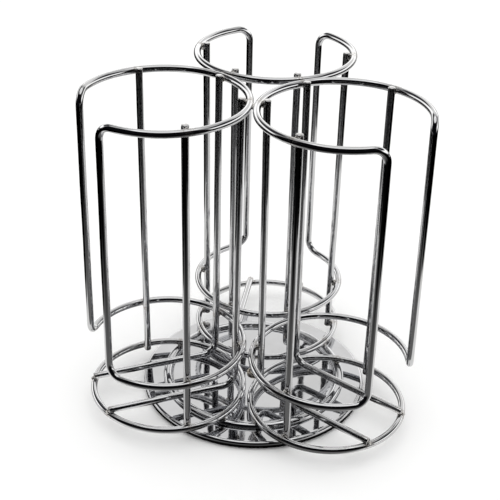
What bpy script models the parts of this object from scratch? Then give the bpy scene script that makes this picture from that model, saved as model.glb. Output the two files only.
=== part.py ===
"""Turning wire carousel: three open columns for stacks of coffee discs on a round ball-bearing base.

Each column is a closed frame loop (an open top ring, two legs and an open lower ring), a full base
ring, two side uprights and two floor rods. The three base rings stand on the rolled rim of a dished
turntable plate, which turns on a ring of caged balls over a stamped base plate. A rivet holds the two
plates together, and a round rubber pad under the base plate rests on the table.

Lengths are in metres and +Z is up. The origin is on the turning axis, on the pad's lower face.
"""

import math

import bmesh
import bpy
from mathutils import Quaternion, Vector

# Clearance left between neighbouring pieces, and between pieces that are welded or glued.
GAP = 0.0003

# Wire columns
WIRE_RADIUS = 0.0020
WIRE_SIDES = 8
WIRE_TIP_LENGTH = 0.0007
WIRE_TIP_TAPER = 0.6
COLUMN_CLEAR_RADIUS = 0.0380
RING_RADIUS = COLUMN_CLEAR_RADIUS + 3 * WIRE_RADIUS + GAP
BASE_RING_RADIUS = 0.0436
COLUMN_OFFSET = (RING_RADIUS + WIRE_RADIUS + GAP / 2) / math.cos(math.radians(30))
COLUMN_AZIMUTHS = {"left": 210.0, "right": 330.0, "rear": 90.0}
COLUMN_SIDES = {"a": 1, "b": -1}

BASE_RING_Z = 0.0104
LOWER_RING_Z = BASE_RING_Z + 0.0305
TOP_RING_Z = BASE_RING_Z + 0.1792
LOWER_RING_LEAN = 0.0010
LEG_ANGLE = math.radians(28)
UPRIGHT_ANGLE = math.radians(88)
FLOOR_ROD_ANGLE = math.radians(25)
LOOP_BEND_RADIUS = 0.0080
ROD_BEND_RADIUS = 0.0080
UPRIGHT_TOP = TOP_RING_Z + WIRE_RADIUS + 0.0006
UPRIGHT_FOOT = BASE_RING_Z - 0.0012
FLOOR_BAR_Z = BASE_RING_Z + 0.0030
FLOOR_BAR_OVERHANG = 0.0006
ARC_STEPS = 26
BEND_STEPS = 4
BASE_RING_STEPS = 34

# Base plate: stamped sheet, from the rivet hole out to the rolled rim
TURNING_STEPS = 48
BASE_SHEET = 0.0007
BASE_HOLE_RADIUS = 0.0022
BASE_BOSS_RADIUS = 0.0090
BASE_BOSS_Z = 0.0041
BASE_WELL_Z = 0.0026
BASE_WELL_INNER_RADIUS = 0.0108
BASE_WELL_OUTER_RADIUS = 0.0476
BASE_RACE_INNER_RADIUS = 0.0498
BASE_RACE_OUTER_RADIUS = 0.0530
BASE_LEDGE_INNER_RADIUS = 0.0536
BASE_LEDGE_OUTER_RADIUS = 0.0624
BASE_LEDGE_Z = 0.0052
BASE_LEDGE_DROP = 0.0003
BASE_OUTER_RADIUS = 0.0659
RIM_CREST_RADIUS = 0.0018
RIM_HEM_RADIUS = 0.0012
RIM_BOTTOM_Z = 0.0008

# Turntable plate: dished sheet whose rolled rim covers the balls and carries the base rings
TURNTABLE_SHEET = 0.0006
TURNTABLE_HOLE_RADIUS = 0.0023
TURNTABLE_FLOOR_Z = 0.0050
TURNTABLE_CREST_Z = BASE_RING_Z - WIRE_RADIUS - GAP
TURNTABLE_RIM_RADIUS = 0.0516
TURNTABLE_RIM_HALF_WIDTH = 0.0027
TURNTABLE_RIM_CORNER = 0.0022
TURNTABLE_SKIRT_Z = 0.0055

# Ball ring between the plates
BALL_COUNT = 12
BALL_RADIUS = 0.0012
BALL_CENTRE_Z = TURNTABLE_CREST_Z - TURNTABLE_SHEET - GAP - BALL_RADIUS
BASE_RACE_Z = BALL_CENTRE_Z - BALL_RADIUS - GAP
RETAINER_HALF_WIDTH = 0.0018
RETAINER_THICKNESS = 0.0005
RETAINER_POCKET_RADIUS = BALL_RADIUS + 0.0002
POCKET_STEPS = 12

# Rivet, washer and pad on the axis
PAD_RADIUS = 0.0450
PAD_THICKNESS = 0.0016
PAD_CHAMFER = 0.0003
RIVET_STEPS = 24
RIVET_SHANK_RADIUS = 0.0018
RIVET_HEAD_RADIUS = 0.0040
RIVET_HEAD_Z = TURNTABLE_FLOOR_Z + GAP
RIVET_HEAD_EDGE = 0.0006
RIVET_HEAD_HEIGHT = 0.0024
RIVET_TAIL_RADIUS = 0.0032
RIVET_TAIL_Z = PAD_THICKNESS + GAP
RIVET_TAIL_THICKNESS = 0.0005
WASHER_INNER_RADIUS = 0.0021
WASHER_OUTER_RADIUS = 0.0050
WASHER_Z = RIVET_TAIL_Z + RIVET_TAIL_THICKNESS + GAP
WASHER_THICKNESS = 0.0004

SHARP_ANGLE = math.radians(40)


# Scene and materials

def clear_scene():
    """Removes whatever the scene holds, so that the carousel is built alone."""
    for item in list(bpy.data.objects):
        bpy.data.objects.remove(item, do_unlink=True)


def metal(name, colour, roughness):
    """A plain metal."""
    return finish(name, colour, roughness, 1.0)


def finish(name, colour, roughness, metallic):
    """A Principled material with one colour."""
    material = bpy.data.materials.new(name)
    material.use_nodes = True
    shader = material.node_tree.nodes["Principled BSDF"]
    shader.inputs["Base Color"].default_value = (*colour, 1.0)
    shader.inputs["Roughness"].default_value = roughness
    shader.inputs["Metallic"].default_value = metallic
    return material


def chrome_wire():
    return metal("chrome_wire", (0.78, 0.78, 0.79), 0.08)


def chrome_base():
    return metal("chrome_base_plate", (0.76, 0.75, 0.74), 0.06)


def chrome_turntable():
    return metal("chrome_turntable", (0.76, 0.75, 0.74), 0.06)


def plated_rivet():
    return metal("plated_rivet", (0.74, 0.66, 0.50), 0.16)


def zinc_washer():
    return metal("zinc_washer", (0.62, 0.63, 0.64), 0.35)


def bearing_steel():
    return metal("bearing_steel", (0.70, 0.70, 0.71), 0.12)


def retainer_brass():
    return metal("retainer_brass", (0.72, 0.58, 0.32), 0.30)


def pad_rubber():
    return finish("pad_rubber", (0.03, 0.03, 0.03), 0.85, 0.0)


# Mesh tools

def add_mesh_object(name, mesh, material, parent=None):
    """Adds a node with the given mesh, shaded smooth except at its real edges."""
    node = bpy.data.objects.new(name, mesh)
    bpy.context.scene.collection.objects.link(node)
    if not mesh.materials:
        mesh.materials.append(material)
    mesh.shade_smooth()
    mesh.set_sharp_from_angle(angle=SHARP_ANGLE)
    node.parent = parent
    return node


def add_empty(name, parent=None, z=0.0, azimuth=0.0):
    """Adds an empty on the turning axis, turned about it by an azimuth in degrees."""
    empty = bpy.data.objects.new(name, None)
    bpy.context.scene.collection.objects.link(empty)
    empty.parent = parent
    empty.location = (0.0, 0.0, z)
    empty.rotation_euler = (0.0, 0.0, math.radians(azimuth))
    return empty


def mesh_from(name, points, faces):
    """A mesh with its faces turned outwards."""
    mesh = bpy.data.meshes.new(name)
    mesh.from_pydata(points, [], faces)
    work = bmesh.new()
    work.from_mesh(mesh)
    bmesh.ops.recalc_face_normals(work, faces=work.faces)
    work.to_mesh(mesh)
    work.free()
    return mesh


def path_tangents(path, closed):
    """The direction of the path at each of its points."""
    count = len(path)
    tangents = []
    for index in range(count):
        before = path[index - 1] if closed or index > 0 else path[0]
        after = path[(index + 1) % count] if closed or index < count - 1 else path[-1]
        incoming = (path[index] - before).normalized()
        outgoing = (after - path[index]).normalized()
        tangents.append((incoming + outgoing).normalized())
    return tangents


def path_normals(tangents, closed):
    """One crosswise direction for each tangent, carried along the path without twist."""
    first = tangents[0].orthogonal().normalized()
    normals = [first]
    for before, after in zip(tangents, tangents[1:]):
        normals.append(before.rotation_difference(after) @ normals[-1])
    if closed:
        last = tangents[-1].rotation_difference(tangents[0]) @ normals[-1]
        twist = math.atan2(last.cross(first).dot(tangents[0]), last.dot(first))
        for index, tangent in enumerate(tangents):
            share = twist * index / len(tangents)
            normals[index] = Quaternion(tangent, share) @ normals[index]
    return normals


def tube_mesh(name, path, radius, closed=False):
    """A round wire along a path. An open wire has slightly rounded tips."""
    path = [Vector(point) for point in path]
    radii = [radius] * len(path)
    if not closed:
        first_step = (path[1] - path[0]).normalized() * WIRE_TIP_LENGTH
        last_step = (path[-2] - path[-1]).normalized() * WIRE_TIP_LENGTH
        path = [path[0], path[0] + first_step] + path[1:-1] + [path[-1] + last_step, path[-1]]
        tip = radius * WIRE_TIP_TAPER
        radii = [tip] + [radius] * (len(path) - 2) + [tip]
    tangents = path_tangents(path, closed)
    normals = path_normals(tangents, closed)
    points = []
    for centre, tangent, normal, size in zip(path, tangents, normals, radii):
        for side in range(WIRE_SIDES):
            turn = Quaternion(tangent, math.tau * side / WIRE_SIDES)
            points.append(centre + turn @ normal * size)
    rings = len(path) if closed else len(path) - 1
    faces = []
    for ring in range(rings):
        here = ring * WIRE_SIDES
        there = ((ring + 1) % len(path)) * WIRE_SIDES
        for side in range(WIRE_SIDES):
            step = (side + 1) % WIRE_SIDES
            faces.append((here + side, here + step, there + step, there + side))
    if not closed:
        last = (len(path) - 1) * WIRE_SIDES
        faces.append(tuple(range(WIRE_SIDES)))
        faces.append(tuple(range(last, last + WIRE_SIDES)))
    return mesh_from(name, points, faces)


def turned_mesh(name, outline, steps):
    """A solid turned about Z from a closed outline of (radius, height) points.

    An outline that starts and ends on the axis closes at its two poles.
    """
    points = []
    rows = []
    for radius, height in outline:
        if radius == 0.0:
            rows.append([len(points)] * steps)
            points.append((0.0, 0.0, height))
            continue
        rows.append([len(points) + step for step in range(steps)])
        for step in range(steps):
            angle = math.tau * step / steps
            points.append((radius * math.cos(angle), radius * math.sin(angle), height))
    on_axis = outline[0][0] == 0.0
    pairs = list(zip(rows, rows[1:]))
    if not on_axis:
        pairs.append((rows[-1], rows[0]))
    faces = []
    for low, high in pairs:
        for step in range(steps):
            turn = (step + 1) % steps
            corners = [low[step], low[turn], high[turn], high[step]]
            faces.append(tuple(dict.fromkeys(corners)))
    return mesh_from(name, points, faces)


def sheet_outline(face, thickness):
    """The closed outline of a sheet, from its upper face as (radius, height) points going outwards."""
    back = []
    for index, (radius, height) in enumerate(face):
        here = Vector((radius, height))
        before = Vector(face[max(index - 1, 0)])
        after = Vector(face[min(index + 1, len(face) - 1)])
        steps = [step.normalized() for step in (here - before, after - here) if step.length > 0.0]
        normals = [Vector((step.y, -step.x)) for step in steps]
        average = sum(normals, Vector((0.0, 0.0))).normalized()
        offset = here + average * thickness / average.dot(normals[0])
        back.append((offset.x, offset.y))
    return list(face) + back[::-1]


def arc(centre_radius, centre_z, radius, start, end, steps):
    """Points on an arc in the (radius, height) plane. Angles are in degrees."""
    points = []
    for step in range(steps + 1):
        angle = math.radians(start + (end - start) * step / steps)
        points.append((centre_radius + radius * math.cos(angle), centre_z + radius * math.sin(angle)))
    return points


# Wire columns, each modelled with its outward direction along +X from the turning axis

def loop_point(angle, z):
    """A point of the frame loop. The loop leans outwards a little towards its lower ring."""
    lean = LOWER_RING_LEAN * (TOP_RING_Z - z) / (TOP_RING_Z - LOWER_RING_Z)
    x = COLUMN_OFFSET + lean + RING_RADIUS * math.cos(angle)
    return (x, RING_RADIUS * math.sin(angle), z)


def loop_bend(side, ring_z, direction):
    """The bend from a ring's open end into a leg: side is +1 or -1, direction is up or down."""
    points = []
    reach = LOOP_BEND_RADIUS / RING_RADIUS
    for step in range(1, BEND_STEPS + 1):
        turn = math.pi / 2 * step / BEND_STEPS
        angle = side * (LEG_ANGLE + reach * (1 - math.sin(turn)))
        z = ring_z + direction * LOOP_BEND_RADIUS * (1 - math.cos(turn))
        points.append(loop_point(angle, z))
    return points


def frame_loop_mesh():
    """Top ring, leg, lower ring and leg in one closed wire, open towards +X."""
    start = LEG_ANGLE + LOOP_BEND_RADIUS / RING_RADIUS
    sweep = math.tau - 2 * start
    angles = [start + sweep * step / ARC_STEPS for step in range(ARC_STEPS + 1)]
    path = [loop_point(angle, TOP_RING_Z) for angle in angles]
    path += loop_bend(-1, TOP_RING_Z, -1)
    path += loop_bend(-1, LOWER_RING_Z, 1)[::-1]
    path += [loop_point(angle, LOWER_RING_Z) for angle in reversed(angles)]
    path += loop_bend(1, LOWER_RING_Z, 1)
    path += loop_bend(1, TOP_RING_Z, -1)[::-1]
    return tube_mesh("frame_loop", path, WIRE_RADIUS, closed=True)


def base_ring_mesh(name, wire_radius):
    """The full ring at the foot of a column."""
    path = []
    for step in range(BASE_RING_STEPS):
        angle = math.tau * step / BASE_RING_STEPS
        x = COLUMN_OFFSET + BASE_RING_RADIUS * math.cos(angle)
        path.append((x, BASE_RING_RADIUS * math.sin(angle), BASE_RING_Z))
    return tube_mesh(name, path, wire_radius, closed=True)


def side_upright_mesh(side):
    """A straight upright against the inner side of the rings."""
    reach = 2 * WIRE_RADIUS + GAP
    ends = ((RING_RADIUS - reach, UPRIGHT_TOP), (BASE_RING_RADIUS - reach, UPRIGHT_FOOT))
    path = []
    for radius, z in ends:
        x = COLUMN_OFFSET + radius * math.cos(UPRIGHT_ANGLE)
        path.append((x, side * radius * math.sin(UPRIGHT_ANGLE), z))
    return tube_mesh("side_upright", path, WIRE_RADIUS)


def floor_rod_mesh(side):
    """An upright on the hub side that bends outwards into a bar across the column's floor."""
    radius = RING_RADIUS - 2 * WIRE_RADIUS - GAP
    y = side * radius * math.sin(FLOOR_ROD_ANGLE)
    top_x = COLUMN_OFFSET - radius * math.cos(FLOOR_ROD_ANGLE)
    lean = LOWER_RING_LEAN * (TOP_RING_Z - FLOOR_BAR_Z) / (TOP_RING_Z - LOWER_RING_Z)
    foot_x = top_x + lean
    path = [(top_x, y, UPRIGHT_TOP)]
    for step in range(BEND_STEPS + 1):
        turn = math.pi / 2 * step / BEND_STEPS
        x = foot_x + ROD_BEND_RADIUS * (1 - math.cos(turn))
        path.append((x, y, FLOOR_BAR_Z + ROD_BEND_RADIUS * (1 - math.sin(turn))))
    ring_x = math.sqrt(BASE_RING_RADIUS ** 2 - y ** 2)
    path.append((COLUMN_OFFSET + ring_x + FLOOR_BAR_OVERHANG, y, FLOOR_BAR_Z))
    return tube_mesh("floor_rod", path, WIRE_RADIUS)


def seat_on_ring(rod, cutter):
    """Sinks the end of a floor rod into the base ring, as its weld does."""
    notch = rod.modifiers.new("weld_seat", "BOOLEAN")
    notch.operation = "DIFFERENCE"
    notch.solver = "EXACT"
    notch.object = cutter


def add_columns(carousel):
    """The three columns, each on its own empty turned to its place round the axis."""
    wire = chrome_wire()
    loop = frame_loop_mesh()
    ring = base_ring_mesh("base_ring", WIRE_RADIUS)
    uprights = {name: side_upright_mesh(side) for name, side in COLUMN_SIDES.items()}
    rods = {name: floor_rod_mesh(side) for name, side in COLUMN_SIDES.items()}
    seat = base_ring_mesh("weld_seat", WIRE_RADIUS + GAP)
    for column, azimuth in COLUMN_AZIMUTHS.items():
        stand = add_empty(f"{column}_column", carousel, azimuth=azimuth)
        cutter = add_mesh_object(f"{column}_weld_seat", seat, wire, stand)
        cutter.hide_render = True
        cutter.display_type = "WIRE"
        add_mesh_object(f"{column}_frame_loop", loop, wire, stand)
        add_mesh_object(f"{column}_base_ring", ring, wire, stand)
        for name in COLUMN_SIDES:
            add_mesh_object(f"{column}_side_upright_{name}", uprights[name], wire, stand)
            rod = add_mesh_object(f"{column}_floor_rod_{name}", rods[name], wire, stand)
            seat_on_ring(rod, cutter)


# Turned and stamped pieces

def base_plate_face():
    """The base plate's upper face, from the rivet hole to the hem under the rim."""
    edge_z = BASE_LEDGE_Z - BASE_LEDGE_DROP
    hem_z = RIM_BOTTOM_Z + RIM_HEM_RADIUS
    face = [
        (BASE_HOLE_RADIUS, BASE_BOSS_Z),
        (BASE_BOSS_RADIUS, BASE_BOSS_Z),
        (BASE_WELL_INNER_RADIUS, BASE_WELL_Z),
        (BASE_WELL_OUTER_RADIUS, BASE_WELL_Z),
        (BASE_RACE_INNER_RADIUS, BASE_RACE_Z),
        (BASE_RACE_OUTER_RADIUS, BASE_RACE_Z),
        (BASE_LEDGE_INNER_RADIUS, BASE_LEDGE_Z),
        (BASE_LEDGE_OUTER_RADIUS, edge_z),
    ]
    crest = BASE_OUTER_RADIUS - RIM_CREST_RADIUS
    face += arc(crest, edge_z - RIM_CREST_RADIUS, RIM_CREST_RADIUS, 90, 0, 3)
    face += arc(BASE_OUTER_RADIUS - RIM_HEM_RADIUS, hem_z, RIM_HEM_RADIUS, 0, -90, 2)
    return face


def add_base_plate():
    outline = sheet_outline(base_plate_face(), BASE_SHEET)
    add_mesh_object("base_plate", turned_mesh("base_plate", outline, TURNING_STEPS), chrome_base())


def turntable_face():
    """The turntable's upper face: flat floor, then up and over the rolled rim to its skirt."""
    flat = TURNTABLE_RIM_HALF_WIDTH - TURNTABLE_RIM_CORNER
    corner_z = TURNTABLE_CREST_Z - TURNTABLE_RIM_CORNER
    inner = TURNTABLE_RIM_RADIUS - TURNTABLE_RIM_HALF_WIDTH
    face = [
        (TURNTABLE_HOLE_RADIUS, TURNTABLE_FLOOR_Z),
        (inner - (corner_z - TURNTABLE_FLOOR_Z) / 2, TURNTABLE_FLOOR_Z),
    ]
    face += arc(TURNTABLE_RIM_RADIUS - flat, corner_z, TURNTABLE_RIM_CORNER, 180, 90, 3)
    face += arc(TURNTABLE_RIM_RADIUS + flat, corner_z, TURNTABLE_RIM_CORNER, 90, 0, 3)
    face.append((TURNTABLE_RIM_RADIUS + TURNTABLE_RIM_HALF_WIDTH, TURNTABLE_SKIRT_Z))
    return face


def add_turntable(carousel):
    outline = sheet_outline(turntable_face(), TURNTABLE_SHEET)
    mesh = turned_mesh("turntable_plate", outline, TURNING_STEPS)
    add_mesh_object("turntable_plate", mesh, chrome_turntable(), carousel)


def add_rivet():
    """The pivot: a domed head over the turntable, a shank through both plates and a flared tail."""
    dome_start = RIVET_HEAD_Z + RIVET_HEAD_EDGE
    dome_rise = RIVET_HEAD_HEIGHT - RIVET_HEAD_EDGE
    dome = []
    for turn in (30, 60):
        angle = math.radians(turn)
        dome.append((RIVET_HEAD_RADIUS * math.cos(angle), dome_start + dome_rise * math.sin(angle)))
    tail_top = RIVET_TAIL_Z + RIVET_TAIL_THICKNESS
    outline = [
        (0.0, RIVET_TAIL_Z),
        (RIVET_TAIL_RADIUS, RIVET_TAIL_Z),
        (RIVET_TAIL_RADIUS, tail_top),
        (RIVET_SHANK_RADIUS, tail_top),
        (RIVET_SHANK_RADIUS, RIVET_HEAD_Z),
        (RIVET_HEAD_RADIUS, RIVET_HEAD_Z),
        (RIVET_HEAD_RADIUS, dome_start),
        *dome,
        (0.0, RIVET_HEAD_Z + RIVET_HEAD_HEIGHT),
    ]
    add_mesh_object("pivot_rivet", turned_mesh("pivot_rivet", outline, RIVET_STEPS), plated_rivet())


def washer_outline(inner, outer, low, high):
    """A plain flat ring."""
    return [(inner, low), (outer, low), (outer, high), (inner, high)]


def add_washer():
    outline = washer_outline(WASHER_INNER_RADIUS, WASHER_OUTER_RADIUS, WASHER_Z, WASHER_Z + WASHER_THICKNESS)
    add_mesh_object("pivot_washer", turned_mesh("pivot_washer", outline, RIVET_STEPS), zinc_washer())


def add_pad():
    """The rubber disc that the carousel stands on."""
    outline = [
        (0.0, 0.0),
        (PAD_RADIUS - PAD_CHAMFER, 0.0),
        (PAD_RADIUS, PAD_CHAMFER),
        (PAD_RADIUS, PAD_THICKNESS),
        (0.0, PAD_THICKNESS),
    ]
    add_mesh_object("rubber_base_pad", turned_mesh("rubber_base_pad", outline, TURNING_STEPS), pad_rubber())


def pocket_cutter():
    """Twelve short posts in one cutter, one through each pocket of the retainer."""
    work = bmesh.new()
    for index in range(BALL_COUNT):
        angle = math.tau * index / BALL_COUNT
        made = bmesh.ops.create_cone(
            work, cap_ends=True, segments=POCKET_STEPS, radius1=RETAINER_POCKET_RADIUS,
            radius2=RETAINER_POCKET_RADIUS, depth=4 * RETAINER_THICKNESS)
        place = (TURNTABLE_RIM_RADIUS * math.cos(angle), TURNTABLE_RIM_RADIUS * math.sin(angle), 0.0)
        bmesh.ops.translate(work, verts=made["verts"], vec=place)
    mesh = bpy.data.meshes.new("retainer_pockets")
    work.to_mesh(mesh)
    work.free()
    return mesh


def add_ball_cage(cage):
    """The retainer ring and its balls, all on the cage's empty at the height of the ball centres."""
    brass = retainer_brass()
    half = RETAINER_THICKNESS / 2
    outline = washer_outline(
        TURNTABLE_RIM_RADIUS - RETAINER_HALF_WIDTH, TURNTABLE_RIM_RADIUS + RETAINER_HALF_WIDTH, -half, half)
    retainer = add_mesh_object("ball_retainer", turned_mesh("ball_retainer", outline, TURNING_STEPS), brass, cage)
    cutter = add_mesh_object("retainer_pocket_cutter", pocket_cutter(), brass, cage)
    cutter.hide_render = True
    cutter.display_type = "WIRE"
    pockets = retainer.modifiers.new("pockets", "BOOLEAN")
    pockets.operation = "DIFFERENCE"
    pockets.solver = "EXACT"
    pockets.object = cutter

    work = bmesh.new()
    bmesh.ops.create_icosphere(work, subdivisions=2, radius=BALL_RADIUS)
    ball = bpy.data.meshes.new("bearing_ball")
    work.to_mesh(ball)
    work.free()
    steel = bearing_steel()
    for index in range(BALL_COUNT):
        angle = math.tau * index / BALL_COUNT
        node = add_mesh_object(f"bearing_ball_{index + 1:02d}", ball, steel, cage)
        node.location = (TURNTABLE_RIM_RADIUS * math.cos(angle), TURNTABLE_RIM_RADIUS * math.sin(angle), 0.0)


def main():
    clear_scene()
    carousel = add_empty("carousel_axis")
    cage = add_empty("ball_cage_axis", z=BALL_CENTRE_Z)
    add_pad()
    add_base_plate()
    add_washer()
    add_rivet()
    add_ball_cage(cage)
    add_turntable(carousel)
    add_columns(carousel)


main()
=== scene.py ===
"""Looks of the turning wire carousel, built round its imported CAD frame.

Every wire, both plates, the rivet, the washer and the pad are rebuilt here in fine mesh at the places
the frame gives, with weld beads where the wires are joined. The ball cage keeps its CAD nodes and gets
new materials.

Lengths are in metres and +Z is up. The turning axis is the Z axis.
"""

import math

import bmesh
import bpy
from mathutils import Matrix, Quaternion, Vector, noise


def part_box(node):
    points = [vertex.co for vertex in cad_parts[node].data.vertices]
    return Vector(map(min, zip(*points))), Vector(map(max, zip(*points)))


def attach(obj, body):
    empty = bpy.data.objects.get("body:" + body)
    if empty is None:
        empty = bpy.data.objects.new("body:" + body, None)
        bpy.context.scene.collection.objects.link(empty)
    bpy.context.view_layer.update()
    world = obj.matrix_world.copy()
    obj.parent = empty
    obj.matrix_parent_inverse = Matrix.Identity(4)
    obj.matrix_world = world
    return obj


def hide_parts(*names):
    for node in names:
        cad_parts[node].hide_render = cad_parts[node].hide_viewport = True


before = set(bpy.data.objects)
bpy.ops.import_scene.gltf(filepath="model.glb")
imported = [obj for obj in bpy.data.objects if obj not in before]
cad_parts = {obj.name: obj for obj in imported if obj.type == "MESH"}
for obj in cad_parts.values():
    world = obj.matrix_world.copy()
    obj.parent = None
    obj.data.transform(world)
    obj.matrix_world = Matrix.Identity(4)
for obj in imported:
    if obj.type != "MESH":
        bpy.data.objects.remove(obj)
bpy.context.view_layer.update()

# Wires and columns, the same sizes as in the CAD
COLUMNS = ("left", "right", "rear")
SIDES = {"a": 1, "b": -1}
WIRE_RADIUS = 0.0020
WELD_GAP = 0.0003
POST_REACH = 2 * WIRE_RADIUS + WELD_GAP
RING_RADIUS = 0.0443
BASE_RING_RADIUS = 0.0436
LOWER_RING_LEAN = 0.0010
LEG_ANGLE = math.radians(28)
UPRIGHT_ANGLE = math.radians(88)
FLOOR_ROD_ANGLE = math.radians(25)
BEND_RADIUS = 0.0080
FLOOR_BAR_RISE = 0.0030
FLOOR_BAR_OVERHANG = 0.0006

# Rounded-over cut ends of the wires
TIP_ROUND = 0.00055
TIP_STEPS = 5

# Slow wander of hand-formed wire. Without the seed, noise_vector gives other values on every run.
SWAY_SEED = 1
SWAY_GRAIN = 28.0
LOOP_SWAY = 0.00012
ROD_SWAY = 0.00014
LOOP_SEEDS = 3.0
ROD_SEEDS = 5.0
FIRST_ROD_SEED = 1.0

# Weld beads, as half sizes along two crosswise directions and from wire to wire
POST_BEAD = (0.00195, 0.0019, 0.00125)
FLOOR_BAR_BEAD = (1.1 * POST_BEAD[0], 0.9 * POST_BEAD[1], POST_BEAD[2])
RIM_BEAD = (0.0021, 0.0019, 0.0009)
TOP_RING_BEAD = (0.0030, 0.0013, 0.0011)
WELD_REACH = 0.0014
BAR_CLEARANCE = 0.0010
HEAT_CORE = 0.0026
HEAT_FADE = 0.0022

# Lumps on a bead, as (share of its size, how many across it)
COARSE_LUMPS = (0.16, 1.6)
FINE_LUMPS = (0.06, 4.5)
COLUMN_BEAD_SEEDS = 40
RIM_BEAD_SEED = 20
TOP_RING_BEAD_SEED = 200

# Base plate
BASE_SHEET = 0.0007
BASE_BORE_RADIUS = 0.0022
HUB_RADIUS = 0.0090
HUB_Z = 0.0041
WELL_INNER_RADIUS = 0.0108
WELL_OUTER_RADIUS = 0.0476
WELL_Z = 0.0026
RACE_INNER_RADIUS = 0.0498
RACE_OUTER_RADIUS = 0.0530
RACE_Z = 0.0045
LEDGE_INNER_RADIUS = 0.0536
LEDGE_DROP = 0.0003
LEDGE_END = 0.0008
BASE_CREST_RADIUS = 0.0018
BASE_HEM_RADIUS = 0.0012
BASE_CREST_ARC = (88, 0)
BASE_HEM_ARC = (0, -90)
BASE_FILLET = 0.0012
WELL_FILLET = 0.0014
RACE_FILLET = 0.0006
LEDGE_FILLET = 0.0005

# Turntable plate
TABLE_SHEET = 0.0006
TABLE_BORE_RADIUS = 0.0023
TABLE_FLOOR_Z = 0.0050
TABLE_SKIRT_Z = 0.0055
TABLE_FOOT = 0.00045
TABLE_FOOT_FILLET = 0.0007
TABLE_HEM_RADIUS = 0.00035
RIM_HALF_WIDTH = 0.0027
RIM_CORNER = 0.0025
RIM_INNER_ARC = (176, 90)
RIM_OUTER_ARC = (90, 10)
TABLE_HEM_ARC = (0, -70)

# Rivet, washer and pad
RIVET_SHANK_RADIUS = 0.0018
RIVET_TAIL_RADIUS = 0.0032
RIVET_TAIL_HEIGHT = 0.0005
RIVET_TAIL_CHAMFER = (0.0003, 0.0002)
RIVET_TAIL_DRAFT = 0.0001
RIVET_HEAD_GAP = 0.0003
RIVET_HEAD_CHAMFER = (0.0001, 0.0002)
RIVET_HEAD_EDGE = 0.0003
DOME_STEPS = 14
DOME_POWER = 0.85
WASHER_BORE_RADIUS = 0.0021
WASHER_EDGE = 0.00012
PAD_GROOVE_DEPTH = 0.0003
PAD_HUB_RADIUS = 0.0060
PAD_FIRST_RIB = 0.0075
PAD_RIB_PITCH = 0.0040
PAD_RIB_WIDTH = 0.0026
PAD_RIB_FOOT = 0.0029
PAD_NEXT_SLOPE = 0.0037
PAD_BAND = 0.0030
PAD_LOWER_CHAMFER = 0.0004
PAD_UPPER_CHAMFER = 0.0002

# Fineness of the meshes
WIRE_SIDES = 28
RING_STEPS = 168
BEND_STEPS = 14
STRAIGHT_STEP = 0.0035
TURNING_STEPS = 288
PAD_STEPS = 192
SMALL_STEPS = 96
CREST_STEPS = 18
HEM_STEPS = 10
RIM_STEPS = 14
TABLE_HEM_STEPS = 6
BEAD_SUBDIVISIONS = 4
FILLET_STEPS = 7
RIM_FILLET_STEPS = 8
FILLET_LIMIT = 0.48
MITRE_LIMIT = 0.6
FLAT_EDGE = 0.00020
CUT_EDGE_BULGE = 0.30

# Edges sharper than this many degrees show as edges
SHARP_EDGE = 40.0
SHEET_SHARP_EDGE = 50.0
PAD_SHARP_EDGE = 30.0

# Lengths below this count as nothing
TINY = 1e-9

# Colours
WIRE_BRIGHT, WIRE_DULL = (0.66, 0.665, 0.685), (0.61, 0.612, 0.62)
BASE_BRIGHT, BASE_DULL = (0.66, 0.665, 0.685), (0.61, 0.613, 0.622)
TABLE_BRIGHT, TABLE_DULL = (0.655, 0.66, 0.68), (0.60, 0.603, 0.613)
PIT_COLOUR = (0.42, 0.41, 0.40)
HEAT_COLOUR = (0.30, 0.27, 0.24)
BEAD_DARK, BEAD_BRIGHT = (0.36, 0.34, 0.31), (0.74, 0.73, 0.72)
RIVET_BRIGHT, RIVET_DARK = (0.78, 0.72, 0.62), (0.42, 0.36, 0.29)
ZINC_BRIGHT, ZINC_DARK = (0.66, 0.67, 0.70), (0.46, 0.46, 0.45)
BRASS_BRIGHT, BRASS_DARK = (0.78, 0.62, 0.34), (0.50, 0.36, 0.17)
STEEL_BRIGHT, STEEL_DARK = (0.78, 0.78, 0.80), (0.60, 0.60, 0.61)
RUBBER_BLACK, RUBBER_DUST = (0.020, 0.020, 0.021), (0.075, 0.072, 0.068)

# Camera
CAMERA_PLACE = Vector((0.07653, -0.54328, 0.40545))
CAMERA_YAW = 0.1613
CAMERA_PITCH = 0.5177
CAMERA_ROLL = 0.0170
CAMERA_CLIP = (0.01, 50.0)
SENSOR = 36.0
LENS = 80.06
SHIFT = (0.0274, -0.0072)

# Floor and lamp
FLOOR_HALF = 4.0
FLOOR_Z = -0.00005
FLOOR_COLOUR = (0.97, 0.97, 0.965, 1.0)
LAMP_WIDTH = 1.6
LAMP_ENERGY = 4.0
LAMP_PLACE = (0.05, -0.05, 1.5)

# The lit sheet that reflections see. Each pair is where a change of light starts and ends.
SHEET_HALF = 1.6
SHEET_Z = -0.0004
SHEET_LEVEL = 0.92
SHEET_COLOUR = (1.0, 0.992, 0.972, 1.0)
SHEET_LEFT_EDGE = (-0.205, -0.175)
SHEET_RIGHT_EDGE = (0.270, 0.305)
SHEET_RIGHT_SLANT = 0.25
SHEET_MIDDLE_X = 0.020
SHEET_FRONT_SLOPE = 0.32
SHEET_FRONT_Y = 0.058
SHEET_NEAR_FADE = (-0.010, 0.010)
SHEET_NEAR_LEVEL = 0.18
SHEET_FAR_FADE = (0.015, 0.210)
SHEET_FAR_LEVEL = 0.012
# A painted shadow of the base on the reflected sheet: its light drops to this level inside these radii
SHEET_PAINTED_SHADOW = (0.0695, 0.080)
SHEET_PAINTED_SHADOW_LEVEL = 0.006

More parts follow.
